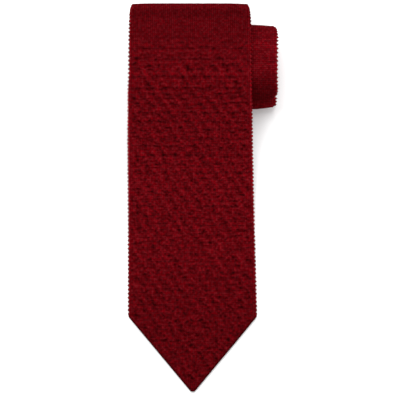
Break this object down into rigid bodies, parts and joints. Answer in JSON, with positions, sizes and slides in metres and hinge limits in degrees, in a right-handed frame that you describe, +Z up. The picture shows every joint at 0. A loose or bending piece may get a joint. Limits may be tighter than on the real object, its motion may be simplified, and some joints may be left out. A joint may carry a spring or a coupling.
{
  "type": "knit tie",
  "caption": "Knitted neck tie with a pointed blade laid flat, the rest wound into a flattened roll that it passes over and folds back behind.",
  "frame": {"origin": "centre of the bounding box at its bottom, on the surface that the tie lies on", "axes": "+Y from the blade's point to the top fold, +Z up out of the tie's face, +X to the roll's bare end"},
  "size_m": [0.0918, 0.2404, 0.045],
  "materials": {
    "knit": "matte dark crimson knit"
  },
  "bodies": {
    "root": {"knit_tie": "knit"}
  },
  "joints": []
}
